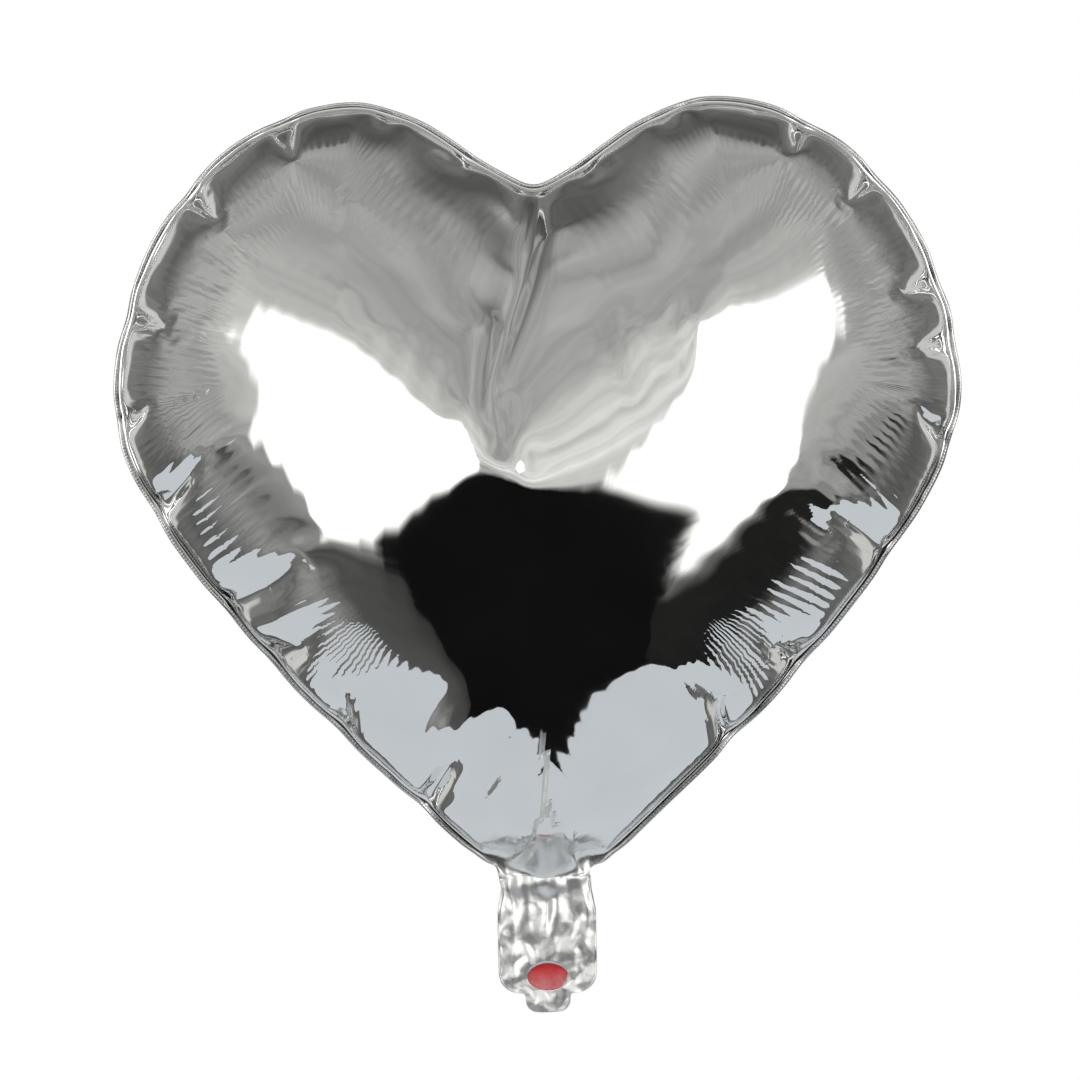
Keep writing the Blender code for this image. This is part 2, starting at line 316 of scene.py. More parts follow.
def flat_edge(edge, inflation):
    """The edge of the flat sheets that fill out to that heart."""
    middle = (0.0, LOBE_TOP / 2)
    flat = (edge - middle) * (inflation.width_gain, inflation.height_gain) + middle
    lowness = np.exp(-(((edge[:, 1] - inflation.flank_height) / FLANK_GAIN_SPAN) ** 2))
    outwards = np.clip(edge[:, 0] / (HALF_WIDTH / 9), -1, 1)
    flat[:, 0] += inflation.flank_gain * lowness * outwards
    return flat


def inset(points, distance):
    """A closed clockwise outline moved inwards, each corner along the line that halves it."""
    arriving = points - np.roll(points, 1, axis=0)
    leaving = np.roll(arriving, -1, axis=0)
    normals = [np.column_stack([side[:, 1], -side[:, 0]]) for side in (arriving, leaving)]
    normals = [normal / np.linalg.norm(normal, axis=1, keepdims=True) for normal in normals]
    halfway = normals[0] + normals[1]
    halfway /= np.linalg.norm(halfway, axis=1, keepdims=True)
    reach = np.maximum((halfway * normals[0]).sum(axis=1, keepdims=True), 0.5)
    return points + halfway * distance / reach


def blurred(values, rounds):
    """Values round a closed loop, each averaged with its neighbours that many times."""
    for _ in range(rounds):
        values = values / 2 + np.roll(values, 1, axis=0) / 4 + np.roll(values, -1, axis=0) / 4
    return values


def corner(corner_x, corner_z, radius, steps=8):
    """A quarter circle in a lower right corner, from its side down to its foot."""
    turns = np.linspace(0.0, -math.pi / 2, steps + 1)
    centre = (corner_x - radius, corner_z + radius)
    return [(centre[0] + radius * math.cos(turn), centre[1] + radius * math.sin(turn)) for turn in turns]


def tail_edge(pattern):
    """The tail's edge below the neck, from the neck's right end round to its left end."""
    half_neck = pattern.neck_width / 2
    half_tongue = pattern.tongue_width / 2
    tongue_foot = TAIL_LOW.z
    foot = tongue_foot + pattern.tongue_length
    right = [(half_neck, NECK_EDGE), (HALF_TAIL, -pattern.tail_shoulder)]
    right += corner(HALF_TAIL, foot, pattern.tail_corner)
    right.append((half_tongue, foot))
    right += corner(half_tongue, tongue_foot, pattern.tongue_corner)
    left = [(-x, z) for x, z in reversed(right)]
    return np.array(right + left)


def ply_edge(pattern):
    """A valve ply's edge below the neck, from the neck's right end round to its left end."""
    half_end = pattern.tongue_width / 2 - PLY_INSET
    foot = TAIL_LOW.z + pattern.tongue_length + PLY_INSET
    right = [(PLY_HIGH.x, NECK_EDGE), (PLY_HIGH.x, foot), (half_end, foot)]
    right += corner(half_end, PLY_LOW.z, pattern.tongue_corner - PLY_INSET)
    left = [(-x, z) for x, z in reversed(right)]
    return np.array(right + left)


def hole_edge(pattern, first, steps):
    """The oval fill hole, clockwise as seen from the front. It starts in the direction of the first point."""
    middle_z = (PRINT_LOW.z + PRINT_HIGH.z) / 2
    start = math.atan2(first[1] - middle_z, first[0])
    turns = start - np.arange(steps) * 2 * math.pi / steps
    x = pattern.hole_width / 2 * np.cos(turns)
    z = pattern.hole_height / 2 * np.sin(turns) + middle_z
    return np.column_stack([x, z])


# ---------------------------------------------------------------- the flat envelope


def as_mesh(bm, name):
    """The bmesh as a new mesh."""
    mesh = bpy.data.meshes.new(name)
    bm.to_mesh(mesh)
    bm.free()
    return mesh


def ring(bm, points):
    """A closed loop of edges through (x, z) points, in their order."""
    verts = bmesh.ops.create_circle(bm, cap_ends=False, radius=1.0, segments=len(points))["verts"]
    for vert, (x, z) in zip(verts, points):
        vert.co = (x, 0.0, z)
    return verts


def edges_along(bm, verts):
    """The edges of a closed loop of points."""
    return [bm.edges.get((here, after)) for here, after in zip(verts, verts[1:] + verts[:1])]


def join_rings(bm, rings):
    """Bands of faces between each ring and the next."""
    for outer, inner in zip(rings, rings[1:]):
        bmesh.ops.bridge_loops(bm, edges=edges_along(bm, outer) + edges_along(bm, inner))


def fill_ring(bm, verts):
    """A grid of faces over the ring, relaxed so that its cells are even."""
    edges = edges_along(bm, verts)
    quarter = len(edges) // 4
    first = quarter // 2
    rails = [edges[(first + step) % len(edges)] for step in range(quarter)]
    rails += [edges[(first + 2 * quarter + step) % len(edges)] for step in range(quarter)]
    known = len(bm.verts)
    bmesh.ops.grid_fill(bm, edges=rails, use_smooth=True)
    bm.verts.ensure_lookup_table()
    inside = bm.verts[known:]
    for _ in range(RELAX_ROUNDS):
        bmesh.ops.smooth_vert(bm, verts=inside, factor=0.5, use_axis_x=True, use_axis_z=True)


def pucker_places(edge):
    """Where the main creases start on the edge, and the direction in which they run."""
    right = [round((1 - share) * FLANK_STEPS / 2 + FLANK_STEPS / 2) for share in RIGHT_PUCKERS]
    left = [round(share * FLANK_STEPS / 2) for share in LEFT_PUCKERS]
    places = np.array(left + right)
    along = edge[(places + 1) % len(edge)] - edge[places - 1]
    along /= np.linalg.norm(along, axis=1, keepdims=True)
    inwards = np.column_stack([along[:, 1], -along[:, 0]])
    return edge[places], along, inwards


def standing_apart(point, puckers):
    """How far apart the sheets start at a point: nearly shut on a crease, open between creases."""
    starts, along, inwards = puckers
    offset = point - starts
    across = (offset * along).sum(axis=1)
    depth = (offset * inwards).sum(axis=1)
    shut = np.exp(-((across / PUCKER_WIDTH) ** 2) - np.maximum(depth, 0) / PUCKER_REACH)
    return max(LEAST_OPENING, 1 - shut[depth > -PUCKER_LEAD].max(initial=0.0))


def sheet_outlines(edge, seal_width):
    """The outlines of a flat sheet: over the rim to the seam, then inwards by one spacing each."""
    outlines = [inset(edge, seal_width * step / RIM_STEPS) for step in range(RIM_STEPS + 1)]
    spacing = np.linalg.norm(edge - np.roll(edge, 1, axis=0), axis=1).mean()
    for _ in range(SEAM_RINGS):
        outlines.append(blurred(inset(outlines[-1], spacing), 2))
    return outlines


def flat_front(bm, sheet, outlines):
    """The rim and the front sheet. Points say which part they belong to, and faces say so as a material."""
    rings = [ring(bm, outline) for outline in outlines]
    join_rings(bm, rings)
    fill_ring(bm, rings[-1])
    rim = set(vert for loop in rings[:RIM_STEPS] for vert in loop)
    seam = set(rings[RIM_STEPS])
    outer = set(rings[0])
    for vert in bm.verts:
        vert[sheet] = RIM if vert in rim else SEAM if vert in seam else FRONT
    bmesh.ops.recalc_face_normals(bm, faces=bm.faces)
    if sum(face.normal.y for face in bm.faces) > 0:
        bmesh.ops.reverse_faces(bm, faces=bm.faces)
    for face in bm.faces:
        if all(vert[sheet] != RIM for vert in face.verts):
            face.material_index = FRONT
        elif any(vert in outer for vert in face.verts):
            face.material_index = RIM_EDGE
        else:
            face.material_index = RIM


def add_flat_back(bm, sheet):
    """The back sheet, as a copy of the front one that faces the other way."""
    dome = [face for face in bm.faces if face.material_index == FRONT]
    copied = bmesh.ops.duplicate(bm, geom=dome)["geom"]
    back_faces = [item for item in copied if isinstance(item, bmesh.types.BMFace)]
    bmesh.ops.reverse_faces(bm, faces=back_faces)
    for face in back_faces:
        face.material_index = BACK
        for vert in face.verts:
            vert[sheet] = SEAM if vert[sheet] == SEAM else BACK


def flat_envelope(pattern, inflation):
    """Both flat sheets, welded along the seam, and the rim outside it."""
    edge = flat_edge(heart_edge(pattern), inflation)
    puckers = pucker_places(edge)
    bm = bmesh.new()
    sheet = bm.verts.layers.int.new("sheet")
    flat_front(bm, sheet, sheet_outlines(edge, pattern.seal_width))
    add_flat_back(bm, sheet)
    for vert in bm.verts:
        if vert[sheet] in SIDES:
            apart = standing_apart(np.array((vert.co.x, vert.co.z)), puckers)
            vert.co.y = SIDES[vert[sheet]] * inflation.pucker_seed * apart
    bmesh.ops.remove_doubles(bm, verts=[v for v in bm.verts if v[sheet] == SEAM], dist=1e-6)
    return as_mesh(bm, "envelope"), edge


# ---------------------------------------------------------------- inflation


def places_of(mesh):
    places = np.empty(len(mesh.vertices) * 3)
    mesh.vertices.foreach_get("co", places)
    return places.reshape(-1, 3)


def move_to(mesh, places):
    mesh.vertices.foreach_set("co", places.ravel())
    mesh.update()


def numbers_of(mesh, name, count):
    numbers = np.empty(count, dtype=np.int32)
    mesh.attributes[name].data.foreach_get("value", numbers)
    return numbers


def floats_of(mesh, name):
    values = np.empty(len(mesh.vertices))
    mesh.attributes[name].data.foreach_get("value", values)
    return values


def put(mesh, name, values):
    """A number on every point of the mesh, which the materials can read by that name."""
    attribute = mesh.attributes.get(name) or mesh.attributes.new(name, "FLOAT", "POINT")
    attribute.data.foreach_set("value", values.astype(np.float32))


def eased(values, low, high):
    """0 below low, 1 above high, and a smooth step between them."""
    share = np.clip((values - low) / (high - low), 0, 1)
    return share * share * (3 - 2 * share)


def gas_group(envelope, rest, sheets):
    """Points under pressure: none on the rim, and more and more of it above the neck."""
    gas = envelope.vertex_groups.new(name="gas")
    share = eased(rest[:, 2], rest[:, 2].min(), rest[:, 2].min() + THROAT_LENGTH)
    share[sheets == RIM] = 0
    for level in range(1, GAS_LEVELS + 1):
        chosen = np.flatnonzero(np.ceil(share * GAS_LEVELS) == level)
        gas.add(chosen.tolist(), level / GAS_LEVELS, "REPLACE")
    return gas


def inflated(mesh, sheets, inflation):
    """Where the points of the envelope go when gas fills it."""
    rest = places_of(mesh)
    move_to(mesh, rest * SOLVER_SCALE)
    envelope = bpy.data.objects.new("envelope", mesh)
    bpy.context.scene.collection.objects.link(envelope)
    gas = gas_group(envelope, rest, sheets)
    cloth = envelope.modifiers.new("gas", "CLOTH")
    for name, value in FILM_CLOTH.items():
        setattr(cloth.settings, name, value)
    cloth.settings.use_pressure = True
    cloth.settings.uniform_pressure_force = inflation.pressure
    cloth.settings.vertex_group_pressure = gas.name
    cloth.settings.effector_weights.gravity = 0
    cloth.collision_settings.use_collision = False
    cloth.point_cache.frame_start = 1
    cloth.point_cache.frame_end = inflation.frames
    scene = bpy.context.scene
    for step in range(1, inflation.frames + 1):
        scene.frame_set(step)
    filled = envelope.evaluated_get(bpy.context.evaluated_depsgraph_get())
    places = places_of(filled.data) / SOLVER_SCALE
    bpy.data.objects.remove(envelope)
    scene.frame_set(1)
    return places


def nearest_seam(flat, seam, spacing):
    """For each flat point, how far round the seam it lies and how far inside it."""
    nearest = np.empty(len(flat), dtype=int)
    for start in range(0, len(flat), POINTS_AT_ONCE):
        part = flat[start:start + POINTS_AT_ONCE, (0, 2)]
        gaps = np.linalg.norm(part[:, None] - seam[None], axis=2)
        nearest[start:start + POINTS_AT_ONCE] = gaps.argmin(axis=1)
    along = nearest * spacing
    inwards = np.full(len(flat), np.inf)
    for share in np.linspace(-1, 1, SEAM_SHARES):
        beside = seam[(nearest + (1 if share > 0 else -1)) % len(seam)]
        between = seam[nearest] + abs(share) * (beside - seam[nearest])
        gap = np.linalg.norm(flat[:, (0, 2)] - between, axis=1)
        closer = gap < inwards
        inwards[closer] = gap[closer]
        along[closer] = (nearest[closer] + share) * spacing
    return along, inwards


def near_neck(count, margin, rounds):
    """1 at the neck and that many points beside it, 0 round the heart, and a soft change between them."""
    at_neck = np.zeros(count)
    at_neck[FLANK_STEPS - margin + 1:] = 1
    at_neck[:margin] = 1
    return np.clip(blurred(at_neck, rounds) * 2, 0, 1)


def drawn_to_edge(places, flat, rim_places, flat_rim, edge):
    """The envelope eased so that its rim follows the heart's edge. Its scallops are kept, but shallower."""
    exact_shift = edge - rim_places
    eased_shift = blurred(edge, BLUR_ROUNDS) - blurred(rim_places, BLUR_ROUNDS)
    eased_shift += (exact_shift - eased_shift) * (1 - SCALLOP_SHARE)
    at_neck = near_neck(len(edge), 4, 12)[:, None]
    shift = eased_shift * (1 - at_neck) + exact_shift * at_neck
    moved = places.copy()
    for start in range(0, len(flat), POINTS_AT_ONCE):
        part = flat[start:start + POINTS_AT_ONCE, (0, 2)]
        gaps = ((part[:, None] - flat_rim[None]) ** 2).sum(axis=2)
        pull = (gaps + 1e-6) ** -1.5
        for axis, column in ((0, 0), (2, 1)):
            drawn = (pull * shift[:, column]).sum(axis=1) / pull.sum(axis=1)
            moved[start:start + POINTS_AT_ONCE, axis] += drawn
    return moved


def fitted_depth(places):
    """The filled envelope brought to the frame's depth, and pressed flat towards the neck."""
    depth = places[:, 1] - (places[:, 1].min() + places[:, 1].max()) / 2
    reach = np.where(depth < 0, -HEART_LOW.y / -depth.min(), BACK_HIGH.y / depth.max())
    start = NECK_EDGE + THROAT_CURVE * np.minimum(np.abs(places[:, 0]) / HALF_TAIL, 1)
    throat = eased(places[:, 2], start, start + FLAT_THROAT)
    return np.column_stack([places[:, 0], depth * reach * throat, places[:, 2]])


def lowered_apex(places):
    """The envelope with the cone under the cleft's crease moved down, and the foil round it less and less."""
    distance = ((places[:, (0, 2)] - APEX) ** 2).sum(axis=1)
    nearness = np.clip(1 - distance / APEX_REACH ** 2, 0, 1) ** 2
    return places + nearness[:, None] * APEX_SHIFT


def beside_cleft(place):
    """Whether a point lies where small dents form on both sides of the cleft's crease."""
    off_middle = CLEFT_DENTS_FROM < abs(place.x) < CLEFT_DENTS_TO
    return off_middle and place.z > CLEFT_DENTS_FOOT and abs(place.y) > CLEFT_DENTS_DEPTH


def iron_cleft(mesh):
    """Irons the small dents on both sides of the cleft's crease."""
    bm = bmesh.new()
    bm.from_mesh(mesh)
    dented = [vert for vert in bm.verts if beside_cleft(vert.co)]
    axes = {"use_axis_x": True, "use_axis_y": True, "use_axis_z": True}
    for _ in range(IRON_ROUNDS):
        bmesh.ops.smooth_vert(bm, verts=dented, factor=0.5, **axes)
    bm.to_mesh(mesh)
    bm.free()


def points_at(flat, outline):
    """The points of the envelope that lie on an outline of the flat sheets, in its order."""
    return np.array([np.hypot(*(flat[:, (0, 2)] - point).T).argmin() for point in outline])


def unit(rows):
    return rows / np.linalg.norm(rows, axis=1, keepdims=True)


def seam_line(on_seam):
    """The seam as a smooth line of (x, z), and the direction inwards from each of its points."""
    line = np.column_stack([blurred(on_seam[:, axis], 2) for axis in (0, 2)])
    ahead = unit(np.roll(line, -1, axis=0) - np.roll(line, 1, axis=0))
    ahead = unit(blurred(ahead, 4))
    return line, np.column_stack([ahead[:, 1], -ahead[:, 0]])


def nearest_on_line(places, line, home):
    """The seam point nearest to each place, of those a few to each side of its home."""
    best = home.copy()
    least = np.full(len(places), np.inf)
    for step in range(-TUCK_SEARCH, TUCK_SEARCH + 1):
        here = (home + step) % len(line)
        gap = ((places[:, (0, 2)] - line[here]) ** 2).sum(axis=1)
        closer = gap < least
        best[closer] = here[closer]
        least[closer] = gap[closer]
    return best


def tucked(places, rows, along, inwards, spacing, pattern):
    """The rim laid almost flat outside the seam, and the foil beside it standing behind the seam line."""
    on_seam = places[rows[-1]]
    line, inner = seam_line(on_seam)
    lift = on_seam[:, 1]
    free = 1 - near_neck(len(line), 3, 8)
    moved = places.copy()
    near = np.flatnonzero((inwards > 0.0) & (inwards < TUCK_REACH))
    home = np.round(along[near] / spacing).astype(int) % len(line)
    best = nearest_on_line(places[near], line, home)
    inside = ((places[near][:, (0, 2)] - line[best]) * inner[best]).sum(axis=1)
    steep = TUCK_WALL * np.exp(np.minimum(inside - TUCK_WALL, 0) / TUCK_WALL)
    push = (np.where(inside < TUCK_WALL, steep, inside) - inside) * free[best]
    moved[near, 0] += push * inner[best, 0]
    moved[near, 2] += push * inner[best, 1]
    fade = np.exp(-inwards[near] / RIM_CALM_REACH)
    moved[near, 1] -= (1 - RIM_WAVE) * lift[best] * fade * free[best]
    for step, row in enumerate(rows):
        out = pattern.seal_width * (len(rows) - 1 - step) / (len(rows) - 1)
        height = RIM_WAVE * lift + RIM_FLUTTER * (places[row, 1] - lift)
        calm = np.column_stack([line[:, 0] - inner[:, 0] * out, height, line[:, 1] - inner[:, 1] * out])
        moved[row] = places[row] * (1 - free[:, None]) + calm * free[:, None]
    return moved


def filled_envelope(pattern, inflation):
    """The inflated envelope, and its rim's points in order. Points know how far they are from the seam."""
    mesh, flat_rim = flat_envelope(pattern, inflation)
    flat = places_of(mesh)
    sheets = numbers_of(mesh, "sheet", len(flat))
    seam = inset(flat_rim, pattern.seal_width)
    spacing = np.linalg.norm(seam - np.roll(seam, 1, axis=0), axis=1).mean()
    along, inwards = nearest_seam(flat, seam, spacing)
    inwards[sheets == RIM] *= -1
    places = inflated(mesh, sheets, inflation)
    widths = [pattern.seal_width * step / RIM_STEPS for step in range(RIM_STEPS + 1)]
    rows = [points_at(flat, inset(flat_rim, width)) for width in widths]
    filled_seam = inset(heart_edge(pattern), pattern.seal_width)
    places = drawn_to_edge(places, flat, places[rows[-1]][:, (0, 2)], seam, filled_seam)
    places = tucked(places, rows, along, inwards, spacing, pattern)
    move_to(mesh, fitted_depth(lowered_apex(places)))
    iron_cleft(mesh)
    put(mesh, "along", along)
    put(mesh, "inwards", inwards)
    return mesh, rows[0]


# ---------------------------------------------------------------- crumples and the tail


def folded(steps):
    """A row of straight folds: from 0 to 1 and back again with each whole step."""
    return np.abs(2 * (steps - np.floor(steps)) - 1)


def crossing_folds(x, z):
    """Straight folds of several pitches that cross one another, as flat facets between sharp edges."""
    bent_x = x + 0.0012 * np.sin(310 * z + 1) + 0.0006 * np.sin(740 * z)
    bent_z = z + 0.0012 * np.sin(270 * x + 2) + 0.0006 * np.sin(810 * x)
    total = np.zeros_like(x)
    for fold in range(CRUMPLE_FOLDS):
        turn = FOLD_TURN * fold
        pitch = FINEST_FOLD + FOLD_GROWTH * fold
        across = bent_x * math.cos(turn) + bent_z * math.sin(turn)
        total += (folded(across / pitch + 0.37 * fold) - 0.5) * pitch
    return total / (FINEST_FOLD * CRUMPLE_FOLDS / 2)


def crumple(x, z, depth):
    """How far the limp foil stands out of its plane: crossing folds, gathers at the neck and one crease."""
    around_neck = np.exp(-(((z - 0.002) / GATHER_REACH) ** 2))
    gathers = (folded(x / GATHER_PITCH + 0.15 * np.sin(120 * z) + 0.25) - 0.5) * around_neck
    off_crease = (x - 0.0008 - 0.04 * z) / CREASE_WIDTH
    crease = np.exp(-(off_crease ** 2) - ((z + 0.002) / CREASE_REACH) ** 4)
    limp = 1 - eased(z, NECK_EDGE, CRUMPLE_TOP)
    off_neck = eased(np.abs(x), 0.6 * HALF_TAIL, 1.6 * HALF_TAIL) * eased(z, 0.0, 2 * NECK_EDGE)
    height = 0.7 * crossing_folds(x, z) + 2.2 * gathers + 1.5 * crease
    return depth * height * limp * (1 - off_neck)


def finished_mesh(mesh, kind, **settings):
    """The mesh as one modifier leaves it."""
    holder = bpy.data.objects.new("holder", mesh)
    bpy.context.scene.collection.objects.link(holder)
    modifier = holder.modifiers.new(kind, kind)
    for name, value in settings.items():
        setattr(modifier, name, value)
    graph = bpy.context.evaluated_depsgraph_get()
    result = holder.evaluated_get(graph)
    done = bpy.data.meshes.new_from_object(result, preserve_all_data_layers=True, depsgraph=graph)
    bpy.data.objects.remove(holder)
    return done


def crumpled(mesh, depth):
    """The mesh's finer self, with the crumples of the tail pressed into it."""
    fine = finished_mesh(mesh, "SUBSURF", levels=1, render_levels=1)
    places = places_of(fine)
    places[:, 1] += crumple(places[:, 0], places[:, 2], depth)
    move_to(fine, places)
    return fine


def ring_blend(outer, inner, rings):
    """Outlines that lead from one outline to another, point by point."""
    shares = np.linspace(0.0, 1.0, rings + 1)
    return [outer * (1 - share) + inner * share for share in shares]


def facing(bm, side):
    """Turns the faces so that the sheet's outer surface points to its own side."""
    bmesh.ops.recalc_face_normals(bm, faces=bm.faces)
    if sum(face.normal.y * face.calc_area() for face in bm.faces) * SIDES[side] < 0:
        bmesh.ops.reverse_faces(bm, faces=bm.faces)


def add_tail(bm, neck, side, pattern):
    """The tail's part of a sheet, joined to the heart's part along the neck."""
    across = np.array([(vert.co.x, vert.co.z) for vert in neck])
    around = evenly(tail_edge(pattern), TAIL_STEPS - NECK_STEPS + 1)[1:-1]
    outer = np.vstack([across, around])
    hole = hole_edge(pattern, outer[0], TAIL_STEPS)
    rings = [ring(bm, outline) for outline in ring_blend(outer, hole, TAIL_RINGS)]
    join_rings(bm, rings)
    if side == BACK:
        fill_ring(bm, rings[-1])
    edge = set(rings[0][NECK_STEPS:] + rings[0][:1])
    inwards = bm.verts.layers.float["inwards"]
    beside_tongue = (pattern.tongue_width + pattern.seal_width) / 2
    for face in [face for face in bm.faces if face.material_index == 0]:
        on_edge = sum(vert in edge for vert in face.verts) == 2
        on_side = abs(face.calc_center_median().x) > beside_tongue
        face.material_index = TAIL_EDGE if on_edge and on_side else TAIL
        for vert in face.verts:
            vert[inwards] = 0.0
    bmesh.ops.remove_doubles(bm, verts=neck + rings[0][:NECK_STEPS + 1], dist=1e-5)


def sheet_surface(envelope, rim, side, pattern, finish):
    """One whole sheet: its half of the heart, the rim and the tail, which has the fill hole in front."""
    bm = bmesh.new()
    bm.from_mesh(envelope)
    bm.verts.ensure_lookup_table()
    neck = [bm.verts[rim[0]]] + [bm.verts[place] for place in rim[:FLANK_STEPS - 1:-1]]
    other = BACK if side == FRONT else FRONT
    bmesh.ops.delete(bm, geom=[f for f in bm.faces if f.material_index == other], context="FACES")
    add_tail(bm, neck, side, pattern)
    facing(bm, side)
    return crumpled(as_mesh(bm, "sheet"), finish.crumple)


def only_faces(mesh, chosen):
    """A copy of the mesh that keeps the chosen faces."""
    bm = bmesh.new()
    bm.from_mesh(mesh)
    bmesh.ops.delete(bm, geom=[face for face in bm.faces if not chosen(face)], context="FACES")
    return as_mesh(bm, "kept")


def normals_of(mesh):
    normals = np.empty(len(mesh.vertices) * 3)
    mesh.vertex_normals.foreach_get("vector", normals)
    return normals.reshape(-1, 3)


def stack_gap(places, inwards):
    """How far a foil stands off the middle surface: a film at the rim, the valve's stack at the neck."""
    rim = RIM_GAP * (1 - eased(inwards, 0.0, RIM_GAP_REACH))
    beside_valve = 1 - eased(np.abs(places[:, 0]), PLY_HIGH.x, PLY_HIGH.x + VALVE_MARGIN)
    below_heart = 1 - eased(places[:, 2], CRUMPLE_TOP, 2 * CRUMPLE_TOP)
    across = np.clip(1 - (places[:, 0] / (0.92 * HALF_TAIL)) ** 2, 0, 1) ** 2
    up_tail = np.clip((places[:, 2] + SWELL_LENGTH) / (SWELL_LENGTH + NECK_EDGE), 0, 1) ** 2
    swell = NECK_SWELL * across * up_tail * (1 - eased(places[:, 2], NECK_EDGE, FLAT_THROAT))
    return np.maximum(rim, FOIL_GAP * beside_valve * below_heart) + swell


def piece(name, mesh, thickness, material, replaced):
    """A film of that thickness round the mesh, standing for CAD nodes and bending with the tail."""
    solid = finished_mesh(mesh, "SOLIDIFY", thickness=thickness, offset=0.0, use_even_offset=False)
    solid.name = name
    solid.materials.clear()
    solid.materials.append(material)
    if "material_index" in solid.attributes:
        solid.attributes.remove(solid.attributes["material_index"])
    solid.shade_smooth()
    made = bpy.data.objects.new(name, solid)
    bpy.context.scene.collection.objects.link(made)
    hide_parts(*replaced)
    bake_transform(made, "heart", "tail", start=(0, 0, FOLD_REACH), end=(0, 0, -FOLD_REACH))
    return made


def flat_area(points):
    """The area inside a closed outline."""
    x, z = points[:, 0], points[:, 1]
    return abs((x * np.roll(z, -1) - z * np.roll(x, -1)).sum()) / 2


# ---------------------------------------------------------------- shader maths


class Wire:
    """One output of a node. An expression written with it adds the Math nodes that work it out."""

    def __init__(self, finish, socket):
        self.finish = finish
        self.socket = socket

    def __add__(self, other):
        return self.finish.maths("ADD", self, other)

    def __sub__(self, other):
        return self.finish.maths("SUBTRACT", self, other)

    def __rsub__(self, other):
        return self.finish.maths("SUBTRACT", other, self)

    def __neg__(self):
        return self.finish.maths("SUBTRACT", 0.0, self)

    def __mul__(self, other):
        return self.finish.maths("MULTIPLY", self, other)

    __radd__ = __add__
    __rmul__ = __mul__


class Surface:
    """A material, its shader, and the nodes that vary it."""

    def __init__(self, name, **sockets):
        self.material = bpy.data.materials.new(name)
        self.material.use_nodes = True
        self.tree = self.material.node_tree
        self.shader = self.tree.nodes["Principled BSDF"]
        for socket, value in sockets.items():
            self.feed(self.shader.inputs[socket.replace("_", " ")], value)

    def feed(self, socket, value):
        """A link or a plain value into a socket."""
        if isinstance(value, Wire):
            self.tree.links.new(value.socket, socket)
        elif hasattr(value, "__len__") and len(value) == 3 and socket.type == "RGBA":
            socket.default_value = (*value, 1.0)
        else:
            socket.default_value = value

    def node(self, kind, settings=None, inputs=None, output=0):
        """Any node: its settings first, then its sockets, and one of its outputs."""
        made = self.tree.nodes.new(kind)
        for name, value in (settings or {}).items():
            setattr(made, name, value)
        for name, value in (inputs or {}).items():
            self.feed(made.inputs[name], value)
        return Wire(self, made.outputs[output])

    def maths(self, operation, first, second):
        return self.node("ShaderNodeMath", {"operation": operation}, {0: first, 1: second})

    def read(self, name):
        """A number that the mesh carries on its points."""
        return self.node("ShaderNodeAttribute", {"attribute_name": name}, output="Fac")

    def place(self, stretch=(1.0, 1.0, 1.0)):
        """Where the surface is on the object, stretched."""
        here = self.node("ShaderNodeTexCoord", output="Object")
        return self.node("ShaderNodeVectorMath", {"operation": "MULTIPLY"}, {0: here, 1: stretch})

    def cloudy(self, vector, scale, detail=2.0, roughness=0.5):
        sockets = {"Vector": vector, "Scale": scale, "Detail": detail, "Roughness": roughness}
        return self.node("ShaderNodeTexNoise", None, sockets, "Fac")

    def mixed(self, share, first, second):
        """A colour between two colours."""
        settings = {"data_type": "RGBA"}
        return self.node("ShaderNodeMix", settings, {0: share, 6: first, 7: second}, 2)

    def bumped(self, height):
        """The shader's normal follows a height in metres."""
        sockets = {"Height": height, "Distance": 1.0, "Strength": 1.0}
        self.feed(self.shader.inputs["Normal"], self.node("ShaderNodeBump", None, sockets))


# ---------------------------------------------------------------- materials


def ripple_depth(places, along, inwards, side):
    """How deep the fine ripples are at each point, as a share of their full depth."""
    patches = 0.62 + 0.38 * np.sin(along * 41 + 1.3 * side) * np.sin(along * 17 + side)
    end = RIPPLE_END + LOW_RIPPLE_REACH * (1 - eased(places[:, 2], *LOW_FLANK))
    reach = (0.3 + 0.7 * eased(inwards, *RIPPLE_RISE)) * (1 - eased(inwards, end, end + RIPPLE_FADE))
    below_lobes = 1 - 0.8 * eased(places[:, 2], CALM_LOBES, LOBE_TOP - 0.02)
    above_neck = eased(places[:, 2], 0.01, 0.04)
    near_seam = eased(inwards, 0.001, 0.010)
    return reach * patches * near_seam * below_lobes * above_neck


